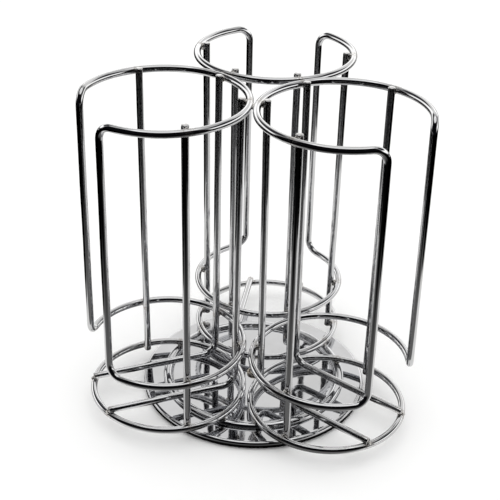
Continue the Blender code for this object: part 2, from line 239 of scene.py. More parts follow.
# The studio that reflections see. Each pair is where a change starts and ends, and a band has two.
# Azimuths and elevations in degrees
DARK_AZIMUTH = 8
DARK_HALF_SPAN = (74, 86)
DARK_TOP = (64, 73)
WALL_TOP = (39, 48)
CEILING_RIM = (62, 78)
CEILING_MIDDLE = (72, 78)
GAP_AZIMUTHS = ((78, 90), (140, 155))
GAP_ELEVATIONS = ((22, 27), (50, 56))
# Places on the unit sphere of directions: Z, and Y for the ground
LOW_LIGHT_BAND = ((0.09, 0.12), (0.34, 0.40))
HORIZON_BAND = ((-0.06, -0.03), (0.03, 0.06))
BELOW_HORIZON = (-0.06, 0.0)
GROUND_BEHIND = (-0.1, 0.5)
# Brightness and tint
WALL_LIGHT, UPPER_WALL_LIGHT = (0.96, 0.952, 0.935), (0.62, 0.615, 0.605)
CEILING_LIGHT, CEILING_MIDDLE_LIGHT = (1.85, 1.84, 1.81), (1.00, 0.995, 0.985)
LOW_LIGHT = (1.60, 1.59, 1.56)
GROUND_NEAR, GROUND_FAR = (0.006, 0.006, 0.007), (0.62, 0.615, 0.60)
GAP_DARK = (0.045, 0.045, 0.050)
HORIZON_DARK = (0.05, 0.05, 0.055)
SIDE_DARK = (0.004, 0.004, 0.005)
BACKDROP_WHITE = (1.0, 1.0, 1.0)


# Places read from the frame

def box_centre(node):
    low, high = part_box(node)
    return (low + high) / 2


def box_azimuth(node):
    """Azimuth of a node's middle about the turning axis, to the nearest degree."""
    middle = box_centre(node)
    return round(math.degrees(math.atan2(middle.y, middle.x)))


BASE_RING_MIDDLE = box_centre("rear_base_ring")
LOOP_LOW, LOOP_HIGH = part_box("rear_frame_loop")
UPRIGHT_LOW, UPRIGHT_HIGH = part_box("rear_side_upright_a")
TABLE_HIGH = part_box("turntable_plate")[1]

AZIMUTHS = {column: box_azimuth(f"{column}_base_ring") for column in COLUMNS}
COLUMN_OFFSET = math.hypot(BASE_RING_MIDDLE.x, BASE_RING_MIDDLE.y)
BASE_RING_Z = BASE_RING_MIDDLE.z
FLOOR_BAR_Z = BASE_RING_Z + FLOOR_BAR_RISE
LOWER_RING_Z = LOOP_LOW.z + WIRE_RADIUS
TOP_RING_Z = LOOP_HIGH.z - WIRE_RADIUS
RIM_RADIUS = TABLE_HIGH.x - RIM_HALF_WIDTH


# Node material tools

class Nodes:
    """A short way to write a node tree."""

    def __init__(self, tree):
        self.tree = tree
        self.tree.nodes.clear()

    def add(self, kind, **settings):
        node = self.tree.nodes.new(kind)
        for name, value in settings.items():
            setattr(node, name, value)
        return node

    def link(self, source, target):
        self.tree.links.new(source, target)

    def feed(self, socket, value):
        """Links a socket, or sets a plain value."""
        if isinstance(value, bpy.types.NodeSocket):
            self.link(value, socket)
        else:
            socket.default_value = value

    def maths(self, operation, first, second=0.0):
        node = self.add("ShaderNodeMath", operation=operation)
        self.feed(node.inputs[0], first)
        self.feed(node.inputs[1], second)
        return node.outputs[0]

    def times(self, first, second):
        return self.maths("MULTIPLY", first, second)

    def noise(self, vector, scale, detail, roughness=0.5):
        node = self.add("ShaderNodeTexNoise")
        self.link(vector, node.inputs["Vector"])
        node.inputs["Scale"].default_value = scale
        node.inputs["Detail"].default_value = detail
        node.inputs["Roughness"].default_value = roughness
        return node.outputs["Fac"]

    def spread(self, value, low, high, to_low=0.0, to_high=1.0):
        """Maps low..high to to_low..to_high, smoothly and clamped."""
        node = self.add("ShaderNodeMapRange", interpolation_type="SMOOTHSTEP")
        self.feed(node.inputs["Value"], value)
        self.feed(node.inputs["From Min"], low)
        self.feed(node.inputs["From Max"], high)
        self.feed(node.inputs["To Min"], to_low)
        self.feed(node.inputs["To Max"], to_high)
        return node.outputs["Result"]

    def band(self, value, rise, fall):
        """1 between a soft rise and a soft fall, and 0 outside them."""
        return self.times(self.spread(value, *rise), self.spread(value, *fall, 1.0, 0.0))

    def mix(self, share, first, second):
        node = self.add("ShaderNodeMix", data_type="RGBA")
        self.feed(node.inputs["Factor"], share)
        for socket, value in ((6, first), (7, second)):
            value = value if isinstance(value, bpy.types.NodeSocket) else (*value, 1.0)
            self.feed(node.inputs[socket], value)
        return node.outputs[2]

    def stretched(self, vector, scale):
        node = self.add("ShaderNodeMapping")
        self.link(vector, node.inputs["Vector"])
        node.inputs["Scale"].default_value = scale
        return node.outputs["Vector"]

    def bump(self, height, distance, strength, normal=None):
        node = self.add("ShaderNodeBump")
        self.link(height, node.inputs["Height"])
        node.inputs["Distance"].default_value = distance
        node.inputs["Strength"].default_value = strength
        if normal is not None:
            self.link(normal, node.inputs["Normal"])
        return node.outputs["Normal"]

    def attribute(self, name):
        return self.add("ShaderNodeAttribute", attribute_name=name)

    def object_vector(self):
        return self.add("ShaderNodeTexCoord").outputs["Object"]

    def split(self, vector):
        """The X, Y and Z parts of a vector."""
        node = self.add("ShaderNodeSeparateXYZ")
        self.link(vector, node.inputs["Vector"])
        return node.outputs["X"], node.outputs["Y"], node.outputs["Z"]

    def length(self, vector):
        node = self.add("ShaderNodeVectorMath", operation="LENGTH")
        self.link(vector, node.inputs[0])
        return node.outputs["Value"]


def material_with(name, kind):
    """A material made of one shader, its node writer and that shader."""
    material = bpy.data.materials.new(name)
    material.use_nodes = True
    nodes = Nodes(material.node_tree)
    output = nodes.add("ShaderNodeOutputMaterial")
    shader = nodes.add(kind)
    nodes.link(shader.outputs[0], output.inputs["Surface"])
    return material, nodes, shader


def surface_material(name, metallic=1.0):
    material, nodes, shader = material_with(name, "ShaderNodeBsdfPrincipled")
    shader.inputs["Metallic"].default_value = metallic
    return material, nodes, shader


def finish_surface(nodes, shader, colour, roughness, normal):
    nodes.link(colour, shader.inputs["Base Color"])
    nodes.link(roughness, shader.inputs["Roughness"])
    nodes.link(normal, shader.inputs["Normal"])


# Materials

def chrome_wire_material():
    """Bright chrome on drawn wire: faint draw lines, slow waviness, small pits, duller at the welds."""
    material, nodes, shader = surface_material("chrome_wire_plating")
    place = nodes.object_vector()
    along = nodes.attribute("wire").outputs["Vector"]
    weld = nodes.attribute("weld").outputs["Fac"]
    drawn = nodes.noise(nodes.stretched(along, (90.0, 1500.0, 1500.0)), 1.0, 2.0)
    wavy = nodes.noise(place, 95.0, 1.0)
    haze = nodes.noise(place, 34.0, 4.0, 0.62)
    pits = nodes.add("ShaderNodeTexVoronoi", feature="F1")
    nodes.link(place, pits.inputs["Vector"])
    pits.inputs["Scale"].default_value = 210.0
    speck = nodes.spread(pits.outputs["Distance"], 0.05, 0.12, 1.0, 0.0)
    burnt = nodes.times(weld, nodes.spread(nodes.noise(place, 900.0, 3.0), 0.35, 0.70))
    hazy = nodes.spread(haze, 0.55, 0.80, 0.0, 0.07)
    rough = nodes.maths("ADD", nodes.maths("ADD", hazy, 0.018), nodes.times(burnt, 0.26))
    bright = nodes.mix(nodes.spread(haze, 0.30, 0.70), WIRE_BRIGHT, WIRE_DULL)
    marked = nodes.mix(nodes.times(speck, 0.35), bright, PIT_COLOUR)
    colour = nodes.mix(nodes.times(burnt, 0.75), marked, HEAT_COLOUR)
    normal = nodes.bump(wavy, 0.00010, 0.5)
    normal = nodes.bump(drawn, 0.000004, 0.4, normal)
    finish_surface(nodes, shader, colour, rough, normal)
    return material


def weld_material():
    """The plated weld bead: lumpier and duller than the wire."""
    material, nodes, shader = surface_material("chrome_weld_plating")
    place = nodes.object_vector()
    grain = nodes.noise(place, 1500.0, 4.0, 0.6)
    rough = nodes.spread(grain, 0.30, 0.70, 0.10, 0.34)
    colour = nodes.mix(nodes.spread(grain, 0.38, 0.66), BEAD_DARK, BEAD_BRIGHT)
    normal = nodes.bump(nodes.noise(place, 800.0, 3.0), 0.00022, 0.8)
    finish_surface(nodes, shader, colour, rough, normal)
    return material


def sheet_chrome_material(name, bright, dull):
    """Mirror chrome on pressed sheet: turned polishing lines, fine scratches, dull patches and dents."""
    material, nodes, shader = surface_material(name)
    place = nodes.object_vector()
    x, y, _ = nodes.split(place)
    across = nodes.add("ShaderNodeCombineXYZ")
    nodes.link(x, across.inputs["X"])
    nodes.link(y, across.inputs["Y"])
    lines = nodes.add("ShaderNodeTexNoise", noise_dimensions="1D")
    nodes.link(nodes.length(across.outputs["Vector"]), lines.inputs["W"])
    lines.inputs["Scale"].default_value = 2600.0
    lines.inputs["Detail"].default_value = 3.0
    smear = nodes.noise(place, 42.0, 4.0, 0.6)
    scratch_room = nodes.stretched(place, (60.0, 1800.0, 60.0))
    scratch = nodes.spread(nodes.noise(scratch_room, 1.0, 2.0), 0.70, 0.76)
    scuffed = nodes.times(scratch, nodes.spread(nodes.noise(place, 120.0, 2.0), 0.45, 0.60))
    smeared = nodes.spread(smear, 0.48, 0.80, 0.012, 0.07)
    rough = nodes.maths("ADD", smeared, nodes.times(scuffed, 0.12))
    colour = nodes.mix(nodes.spread(smear, 0.35, 0.75), bright, dull)
    normal = nodes.bump(nodes.noise(place, 70.0, 2.0), 0.00010, 0.5)
    normal = nodes.bump(lines.outputs["Fac"], 0.000003, 0.5, normal)
    finish_surface(nodes, shader, colour, rough, normal)
    return material


def turned_metal_material(name, bright, dark, roughness):
    """A small turned or plated piece with stains and fine grain."""
    material, nodes, shader = surface_material(name)
    place = nodes.object_vector()
    stain = nodes.noise(place, 420.0, 4.0, 0.6)
    grain = nodes.noise(place, 2600.0, 2.0)
    rough = nodes.spread(stain, 0.25, 0.80, roughness * 0.6, roughness * 1.7)
    colour = nodes.mix(nodes.spread(stain, 0.38, 0.72), bright, dark)
    finish_surface(nodes, shader, colour, rough, nodes.bump(grain, 0.00002, 0.6))
    return material


def rubber_material():
    """Matt black rubber with a moulded grain and dust."""
    material, nodes, shader = surface_material("pad_rubber_moulded", 0.0)
    place = nodes.object_vector()
    dust = nodes.noise(place, 160.0, 5.0, 0.65)
    grain = nodes.noise(place, 2400.0, 2.0)
    colour = nodes.mix(nodes.spread(dust, 0.45, 0.80), RUBBER_BLACK, RUBBER_DUST)
    rough = nodes.spread(dust, 0.30, 0.75, 0.62, 0.92)
    shader.inputs["Specular IOR Level"].default_value = 0.32
    finish_surface(nodes, shader, colour, rough, nodes.bump(grain, 0.00008, 0.7))
    return material


# Mesh tools

def linked_object(name, data):
    made = bpy.data.objects.new(name, data)
    bpy.context.scene.collection.objects.link(made)
    return made


def add_piece(name, mesh, material, body, nodes=(), sharp=SHARP_EDGE):
    """A visible piece that rides on a body and stands for CAD nodes."""
    piece = linked_object(name, mesh)
    mesh.materials.append(material)
    mesh.shade_smooth()
    mesh.set_sharp_from_angle(angle=math.radians(sharp))
    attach(piece, body)
    if nodes:
        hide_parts(*nodes)
    return piece


def outward(mesh):
    """Turns every face of a closed mesh outwards."""
    work = bmesh.new()
    work.from_mesh(mesh)
    bmesh.ops.recalc_face_normals(work, faces=work.faces)
    work.to_mesh(mesh)
    work.free()
    return mesh


def tangents_of(path, closed):
    count = len(path)
    found = []
    for index in range(count):
        before = path[index - 1] if closed or index > 0 else path[0]
        after = path[(index + 1) % count] if closed or index < count - 1 else path[-1]
        here = path[index]
        found.append(((here - before).normalized() + (after - here).normalized()).normalized())
    return found


def normals_of(tangents, closed):
    """One crosswise direction for each tangent, carried along the path without twist."""
    first = tangents[0].orthogonal().normalized()
    normals = [first]
    for before, after in zip(tangents, tangents[1:]):
        normals.append(before.rotation_difference(after) @ normals[-1])
    if closed:
        last = tangents[-1].rotation_difference(tangents[0]) @ normals[-1]
        twist = math.atan2(last.cross(first).dot(tangents[0]), last.dot(first))
        for index, tangent in enumerate(tangents):
            normals[index] = Quaternion(tangent, twist * index / len(tangents)) @ normals[index]
    return normals


def with_tips(path):
    """Adds the rounded-over, cut ends of an open wire. Gives the points and their radii."""
    tips = []
    for tip, inner in ((path[0], path[1]), (path[-1], path[-2])):
        inwards = (inner - tip).normalized()
        rings = []
        for step in range(TIP_STEPS + 1):
            turn = math.pi / 2 * step / TIP_STEPS
            depth = TIP_ROUND * (1 - math.cos(turn))
            rings.append((tip + inwards * depth, WIRE_RADIUS - TIP_ROUND * (1 - math.sin(turn))))
        tips.append(rings)
    middle = [(point, WIRE_RADIUS) for point in path[1:-1]]
    rings = tips[0] + middle + tips[1][::-1]
    return [point for point, _ in rings], [radius for _, radius in rings]


def tube_faces(count, closed):
    """Faces of a tube of so many rings of vertices, with end caps unless it closes on itself."""
    faces = []
    for ring in range(count if closed else count - 1):
        here, there = ring * WIRE_SIDES, ((ring + 1) % count) * WIRE_SIDES
        for side in range(WIRE_SIDES):
            step = (side + 1) % WIRE_SIDES
            faces.append((here + side, here + step, there + step, there + side))
    if not closed:
        last = (count - 1) * WIRE_SIDES
        faces.append(tuple(range(WIRE_SIDES))[::-1])
        faces.append(tuple(range(last, last + WIRE_SIDES)))
    return faces


def add_wire_attributes(mesh, points, weld_spots):
    """Writes each vertex's place along and around the wire, and how close it is to a weld."""
    travelled = [0.0]
    for before, after in zip(points, points[1:]):
        travelled.append(travelled[-1] + (after - before).length)
    along, marks = [], []
    for distance, point in zip(travelled, points):
        near = min((point - spot).length for spot in weld_spots)
        mark = max(0.0, 1.0 - max(0.0, near - HEAT_CORE) / HEAT_FADE)
        for side in range(WIRE_SIDES):
            turn = math.tau * side / WIRE_SIDES
            along += [distance, WIRE_RADIUS * math.cos(turn), WIRE_RADIUS * math.sin(turn)]
            marks.append(mark)
    mesh.attributes.new("wire", "FLOAT_VECTOR", "POINT")
    mesh.attributes["wire"].data.foreach_set("vector", along)
    mesh.attributes.new("weld", "FLOAT", "POINT")
    mesh.attributes["weld"].data.foreach_set("value", marks)


def wire_mesh(name, path, weld_spots, closed):
    """A fine round wire along a path, with its own lengthwise coordinates and its heat marks."""
    if closed:
        points, radii = path, [WIRE_RADIUS] * len(path)
    else:
        points, radii = with_tips(path)
    tangents = tangents_of(points, closed)
    normals = normals_of(tangents, closed)
    vertices = []
    for centre, tangent, normal, radius in zip(points, tangents, normals, radii):
        for side in range(WIRE_SIDES):
            turn = Quaternion(tangent, math.tau * side / WIRE_SIDES)
            vertices.append(centre + turn @ normal * radius)
    mesh = bpy.data.meshes.new(name)
    mesh.from_pydata(vertices, [], tube_faces(len(points), closed))
    outward(mesh)
    add_wire_attributes(mesh, points, weld_spots)
    return mesh


def swayed(points, seed, amount):
    """Hand-formed wire is never quite true: a slow wander of about a tenth of a millimetre."""
    offset = Vector((seed, 0.7 * seed, 1.3 * seed))
    return [point + noise.noise_vector(point * SWAY_GRAIN + offset) * amount for point in points]


def straight(start, end):
    """Points from start to end, both included, at an even step."""
    start, end = Vector(start), Vector(end)
    count = max(2, round((end - start).length / STRAIGHT_STEP))
    return [start.lerp(end, index / count) for index in range(count + 1)]


def turned_mesh(name, outline, steps):
    """A solid turned about Z from a closed outline of (radius, height) points."""
    points, rows = [], []
    for radius, height in outline:
        if radius < TINY:
            rows.append([len(points)] * steps)
            points.append((0.0, 0.0, height))
            continue
        rows.append([len(points) + step for step in range(steps)])
        for step in range(steps):
            angle = math.tau * step / steps
            points.append((radius * math.cos(angle), radius * math.sin(angle), height))
    pairs = list(zip(rows, rows[1:]))
    if outline[0][0] >= TINY:
        pairs.append((rows[-1], rows[0]))
    faces = []
    for low, high in pairs:
        for step in range(steps):
            turn = (step + 1) % steps
            faces.append(tuple(dict.fromkeys((low[step], low[turn], high[turn], high[step]))))
    mesh = bpy.data.meshes.new(name)
    mesh.from_pydata(points, [], faces)
    return outward(mesh)


def filleted(corners, steps):
    """Rounds the corners of an open line. Each corner is (radius, height, fillet)."""
    line = []
    for index, (radius, height, fillet) in enumerate(corners):
        here = Vector((radius, height))
        if fillet <= 0.0:
            line.append(here)
            continue
        before = Vector(corners[index - 1][:2]) - here
        after = Vector(corners[index + 1][:2]) - here
        inside = before.angle(after)
        room = FILLET_LIMIT * min(before.length, after.length)
        reach = min(fillet / math.tan(inside / 2), room)
        start, end = here + before.normalized() * reach, here + after.normalized() * reach
        for step in range(steps + 1):
            share = step / steps
            first, second = start.lerp(here, share), here.lerp(end, share)
            line.append(first.lerp(second, share))
    return line


def arc_points(centre_radius, centre_z, radius, arc, steps):
    """A round stretch of an outline. The arc is its first and last angle in degrees."""
    start, end = arc
    centre = Vector((centre_radius, centre_z))
    points = []
    for step in range(steps + 1):
        angle = math.radians(start + (end - start) * step / steps)
        points.append(centre + radius * Vector((math.cos(angle), math.sin(angle))))
    return points


def with_flat_edges(line):
    """Adds a point just inside each end of every long straight run, so that flats shade flat."""
    full = [line[0]]
    for before, after in zip(line, line[1:]):
        run = after - before
        if run.length > 4 * FLAT_EDGE:
            inset = run.normalized() * FLAT_EDGE
            full += [before + inset, after - inset]
        full.append(after)
    return full


def sheet_outline(face, thickness):
    """The closed outline of a sheet, from its upper face, with both cut edges rounded over."""
    face = with_flat_edges(face)
    back = []
    for index, here in enumerate(face):
        before = face[max(index - 1, 0)]
        after = face[min(index + 1, len(face) - 1)]
        steps = [step.normalized() for step in (here - before, after - here) if step.length > TINY]
        normals = [Vector((step.y, -step.x)) for step in steps]
        average = sum(normals, Vector((0.0, 0.0))).normalized()
        back.append(here + average * thickness / max(average.dot(normals[0]), MITRE_LIMIT))
    bulges = []
    for end, inner in ((-1, -2), (0, 1)):
        outwards = (face[end] - face[inner]).normalized()
        bulges.append((face[end] + back[end]) / 2 + outwards * thickness * CUT_EDGE_BULGE)
    outline = [*face, bulges[0], *back[::-1], bulges[1]]
    return [(point.x, point.y) for point in outline]


# Wire paths of one column, with the outward direction along +X from the turning axis

def lean_at(z):
    """How far the loop's wires have moved outwards from the top ring down to a height."""
    return LOWER_RING_LEAN * (TOP_RING_Z - z) / (TOP_RING_Z - LOWER_RING_Z)


def loop_point(angle, z):
    x = COLUMN_OFFSET + lean_at(z) + RING_RADIUS * math.cos(angle)
    return Vector((x, RING_RADIUS * math.sin(angle), z))


def loop_bend(side, ring_z, direction):
    """The bend from a ring of the loop into a leg, which goes down or up from it."""
    points = []
    reach = BEND_RADIUS / RING_RADIUS
    for step in range(1, BEND_STEPS + 1):
        turn = math.pi / 2 * step / BEND_STEPS
        angle = side * (LEG_ANGLE + reach * (1 - math.sin(turn)))
        points.append(loop_point(angle, ring_z + direction * BEND_RADIUS * (1 - math.cos(turn))))
    return points


def frame_loop_path():
    start = LEG_ANGLE + BEND_RADIUS / RING_RADIUS
    sweep = math.tau - 2 * start
    angles = [start + sweep * step / RING_STEPS for step in range(RING_STEPS + 1)]
    legs = []
    for side in (-1, 1):
        down, up = loop_bend(side, TOP_RING_Z, -1), loop_bend(side, LOWER_RING_Z, 1)[::-1]
        legs.append(down + straight(down[-1], up[0])[1:-1] + up)
    top = [loop_point(angle, TOP_RING_Z) for angle in angles]
    lower = [loop_point(angle, LOWER_RING_Z) for angle in reversed(angles)]
    return top + legs[0] + lower + legs[1][::-1]


def base_ring_path():
    path = []
    for step in range(RING_STEPS):
        angle = math.tau * step / RING_STEPS
        x = COLUMN_OFFSET + BASE_RING_RADIUS * math.cos(angle)
        path.append(Vector((x, BASE_RING_RADIUS * math.sin(angle), BASE_RING_Z)))
    return path


def side_upright_path(side):
    ends = []
    for ring_radius, z in ((RING_RADIUS, UPRIGHT_HIGH.z), (BASE_RING_RADIUS, UPRIGHT_LOW.z)):
        radius = ring_radius - POST_REACH
        x = COLUMN_OFFSET + radius * math.cos(UPRIGHT_ANGLE)
        ends.append(Vector((x, side * radius * math.sin(UPRIGHT_ANGLE), z)))
    return straight(*ends)


def floor_rod_path(side):
    radius = RING_RADIUS - POST_REACH
    y = side * radius * math.sin(FLOOR_ROD_ANGLE)
    top_x = COLUMN_OFFSET - radius * math.cos(FLOOR_ROD_ANGLE)
    foot_x = top_x + lean_at(FLOOR_BAR_Z)
    bend = []
    for step in range(BEND_STEPS + 1):
        turn = math.pi / 2 * step / BEND_STEPS
        x = foot_x + BEND_RADIUS * (1 - math.cos(turn))
        bend.append(Vector((x, y, FLOOR_BAR_Z + BEND_RADIUS * (1 - math.sin(turn)))))
    ring_x = math.sqrt(BASE_RING_RADIUS ** 2 - y ** 2)
    end = Vector((COLUMN_OFFSET + ring_x + FLOOR_BAR_OVERHANG, y, FLOOR_BAR_Z))
    upright = straight((top_x, y, UPRIGHT_HIGH.z), bend[0])[:-1]
    return upright + bend + straight(bend[-1], end)[1:]


def column_paths():
    paths = {"frame_loop": frame_loop_path(), "base_ring": base_ring_path()}
    for name, side in SIDES.items():
        paths[f"side_upright_{name}"] = side_upright_path(side)
        paths[f"floor_rod_{name}"] = floor_rod_path(side)
    return paths


# Welds of one column, each as (middle, direction from wire to wire, half sizes)

def ring_contact(post, z, ring_radius, lean):
    """Where a post meets a ring: the weld's middle and direction, or None if they don't meet."""
    for first, second in zip(post, post[1:]):
        if min(first.z, second.z) <= z <= max(first.z, second.z) and abs(first.z - second.z) > TINY:
            spot = first.lerp(second, (z - first.z) / (second.z - first.z))
            break
    else:
        return None
    centre = Vector((COLUMN_OFFSET + lean, 0.0, z))
    direction = (spot - centre).normalized()
    on_ring = centre + direction * ring_radius
    if (on_ring - spot).length > 2 * WIRE_RADIUS + WELD_REACH:
        return None
    return (on_ring + spot) / 2, direction


def post_welds(post, levels):
    welds = []
    for z, ring_radius, lean in levels:
        found = ring_contact(post, z, ring_radius, lean)
        if found:
            welds.append((*found, POST_BEAD))
    return welds


def floor_bar_weld(bar_end):
    on_ring = Vector((bar_end.x - FLOOR_BAR_OVERHANG, bar_end.y, BASE_RING_Z))
    middle = (bar_end + on_ring) / 2 - Vector((FLOOR_BAR_OVERHANG / 2, 0, 0))
    return middle, Vector((0, 0, 1)), FLOOR_BAR_BEAD


def column_welds(paths):
    loop_levels = [(TOP_RING_Z, RING_RADIUS, 0.0), (LOWER_RING_Z, RING_RADIUS, LOWER_RING_LEAN)]
    welds = []
    for name in SIDES:
        levels = [*loop_levels, (BASE_RING_Z, BASE_RING_RADIUS, 0.0)]
        welds += post_welds(paths[f"side_upright_{name}"], levels)
    for name in SIDES:
        post = [point for point in paths[f"floor_rod_{name}"] if point.z > FLOOR_BAR_Z + BAR_CLEARANCE]
        welds += post_welds(post, loop_levels)
    for name in SIDES:
        welds.append(floor_bar_weld(paths[f"floor_rod_{name}"][-1]))
    return welds


def rim_crossings():
    """Where a column's base ring passes over the turntable's rim."""
    across = RIM_RADIUS ** 2 + COLUMN_OFFSET ** 2 - BASE_RING_RADIUS ** 2
    angle = math.acos(across / (2 * RIM_RADIUS * COLUMN_OFFSET))
    z = (BASE_RING_Z - WIRE_RADIUS + TABLE_HIGH.z) / 2
    x, y = RIM_RADIUS * math.cos(angle), RIM_RADIUS * math.sin(angle)
    return [Vector((x, y, z)), Vector((x, -y, z))]


def bead_mesh(name, beads):
    """Plated weld beads in one mesh. Each bead is (middle, direction, half sizes, seed)."""
    work = bmesh.new()
    for middle, direction, size, seed in beads:
        made = bmesh.ops.create_icosphere(work, subdivisions=BEAD_SUBDIVISIONS, radius=1.0)
        turn = direction.to_track_quat("Z", "Y")
        for vertex in made["verts"]:
            unit = vertex.co.copy()
            lump = 1.0 + COARSE_LUMPS[0] * noise.noise(unit * COARSE_LUMPS[1] + Vector((seed, 0, 0)))
            lump += FINE_LUMPS[0] * noise.noise(unit * FINE_LUMPS[1] + Vector((0, seed, 0)))
            vertex.co = middle + turn @ (unit * Vector(size)) * lump
    mesh = bpy.data.meshes.new(name)
    work.to_mesh(mesh)
    work.free()
    return mesh


# Pieces

def build_columns(wire_chrome, weld_chrome):
    paths = column_paths()
    welds = column_welds(paths)
    crossings = rim_crossings()
    weld_spots = [spot for spot, _, _ in welds] + crossings
    for number, column in enumerate(COLUMNS):
        turn = Matrix.Rotation(math.radians(AZIMUTHS[column]), 4, "Z")
        turned_spots = [turn @ spot for spot in weld_spots]
        for wire, path in paths.items():
            placed = [turn @ point for point in path]
            if wire == "frame_loop":
                placed = swayed(placed, LOOP_SEEDS * number, LOOP_SWAY)
            elif wire != "base_ring":
                placed = swayed(placed, ROD_SEEDS * number + FIRST_ROD_SEED, ROD_SWAY)
            name = f"{column}_{wire}_wire"
            mesh = wire_mesh(name, placed, turned_spots, wire in ("frame_loop", "base_ring"))
            add_piece(name, mesh, wire_chrome, "carousel", [f"{column}_{wire}"])
        seed = number * COLUMN_BEAD_SEEDS
        beads = []
        for index, (spot, direction, size) in enumerate(welds):
            beads.append((turn @ spot, turn.to_3x3() @ direction, size, seed + index))
        for index, spot in enumerate(crossings):
            beads.append((turn @ spot, Vector((0, 0, 1)), RIM_BEAD, seed + RIM_BEAD_SEED + index))
        name = f"{column}_weld_beads"
        add_piece(name, bead_mesh(name, beads), weld_chrome, "carousel")


def build_top_ring_welds(weld_chrome):
    """The welds between the neighbouring top rings."""
    reach = COLUMN_OFFSET * math.cos(math.pi / len(COLUMNS))
    beads = []
    for index in range(len(COLUMNS)):
        azimuth = math.radians(AZIMUTHS["rear"]) + math.pi * (2 * index + 1) / len(COLUMNS)
        spot = Vector((reach * math.cos(azimuth), reach * math.sin(azimuth), TOP_RING_Z))
        across = Vector((-math.sin(azimuth), math.cos(azimuth), 0.0))
        beads.append((spot, across, TOP_RING_BEAD, TOP_RING_BEAD_SEED + index))
    name = "top_ring_weld_beads"
    add_piece(name, bead_mesh(name, beads), weld_chrome, "carousel")


def build_base_plate():
    low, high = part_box("base_plate")
    ledge_z = high.z - LEDGE_DROP
    crest_radius = high.x - BASE_CREST_RADIUS
    face = filleted([
        (BASE_BORE_RADIUS, HUB_Z, 0.0),
        (HUB_RADIUS, HUB_Z, BASE_FILLET),
        (WELL_INNER_RADIUS, WELL_Z, BASE_FILLET),
        (WELL_OUTER_RADIUS, WELL_Z, WELL_FILLET),
        (RACE_INNER_RADIUS, RACE_Z, BASE_FILLET),
        (RACE_OUTER_RADIUS, RACE_Z, RACE_FILLET),
        (LEDGE_INNER_RADIUS, high.z, LEDGE_FILLET),
        (crest_radius - LEDGE_END, ledge_z, 0.0),
    ], FILLET_STEPS)
    crest_z = ledge_z - BASE_CREST_RADIUS
    face += arc_points(crest_radius, crest_z, BASE_CREST_RADIUS, BASE_CREST_ARC, CREST_STEPS)
    hem_centre = (high.x - BASE_HEM_RADIUS, low.z + BASE_HEM_RADIUS)
    face += arc_points(*hem_centre, BASE_HEM_RADIUS, BASE_HEM_ARC, HEM_STEPS)
    mesh = turned_mesh("base_plate_shell", sheet_outline(face, BASE_SHEET), TURNING_STEPS)
    chrome = sheet_chrome_material("chrome_base_sheet", BASE_BRIGHT, BASE_DULL)
    add_piece("base_plate_shell", mesh, chrome, "base", ["base_plate"],
              SHEET_SHARP_EDGE)


def build_turntable_plate():
    corner_z = TABLE_HIGH.z - RIM_CORNER
    flat = RIM_HALF_WIDTH - RIM_CORNER
    inner = RIM_RADIUS - RIM_HALF_WIDTH
    face = filleted([
        (TABLE_BORE_RADIUS, TABLE_FLOOR_Z, 0.0),
        (inner - TABLE_FOOT, TABLE_FLOOR_Z, TABLE_FOOT_FILLET),
        (inner, corner_z, 0.0),
    ], RIM_FILLET_STEPS)
    face += arc_points(RIM_RADIUS - flat, corner_z, RIM_CORNER, RIM_INNER_ARC, RIM_STEPS)
    face += arc_points(RIM_RADIUS + flat, corner_z, RIM_CORNER, RIM_OUTER_ARC, RIM_STEPS)
    hem_centre = (TABLE_HIGH.x - TABLE_HEM_RADIUS, TABLE_SKIRT_Z + TABLE_HEM_RADIUS)
    face += arc_points(*hem_centre, TABLE_HEM_RADIUS, TABLE_HEM_ARC, TABLE_HEM_STEPS)
    mesh = turned_mesh("turntable_shell", sheet_outline(face, TABLE_SHEET), TURNING_STEPS)
    chrome = sheet_chrome_material("chrome_turntable_sheet", TABLE_BRIGHT, TABLE_DULL)
    add_piece("turntable_shell", mesh, chrome, "carousel", ["turntable_plate"],
              SHEET_SHARP_EDGE)


def build_rivet():
    low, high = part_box("pivot_rivet")
    head_z = TABLE_FLOOR_Z + RIVET_HEAD_GAP
    dome_z = head_z + RIVET_HEAD_EDGE
    tail_top = low.z + RIVET_TAIL_HEIGHT
    outline = [
        (0.0, low.z),
        (RIVET_TAIL_RADIUS - RIVET_TAIL_CHAMFER[0], low.z),
        (RIVET_TAIL_RADIUS, low.z + RIVET_TAIL_CHAMFER[1]),
        (RIVET_TAIL_RADIUS - RIVET_TAIL_DRAFT, tail_top),
        (RIVET_SHANK_RADIUS, tail_top),
        (RIVET_SHANK_RADIUS, head_z),
        (high.x - RIVET_HEAD_CHAMFER[0], head_z),
        (high.x, head_z + RIVET_HEAD_CHAMFER[1]),
    ]
    for step in range(DOME_STEPS):
        turn = math.pi / 2 * step / DOME_STEPS
        height = dome_z + (high.z - dome_z) * math.sin(turn)
        outline.append((high.x * math.cos(turn) ** DOME_POWER, height))
    outline.append((0.0, high.z))
    mesh = turned_mesh("pivot_rivet_domed", outline, SMALL_STEPS)
    plating = turned_metal_material("rivet_plating", RIVET_BRIGHT, RIVET_DARK, roughness=0.06)
    add_piece("pivot_rivet_domed", mesh, plating, "base", ["pivot_rivet"])


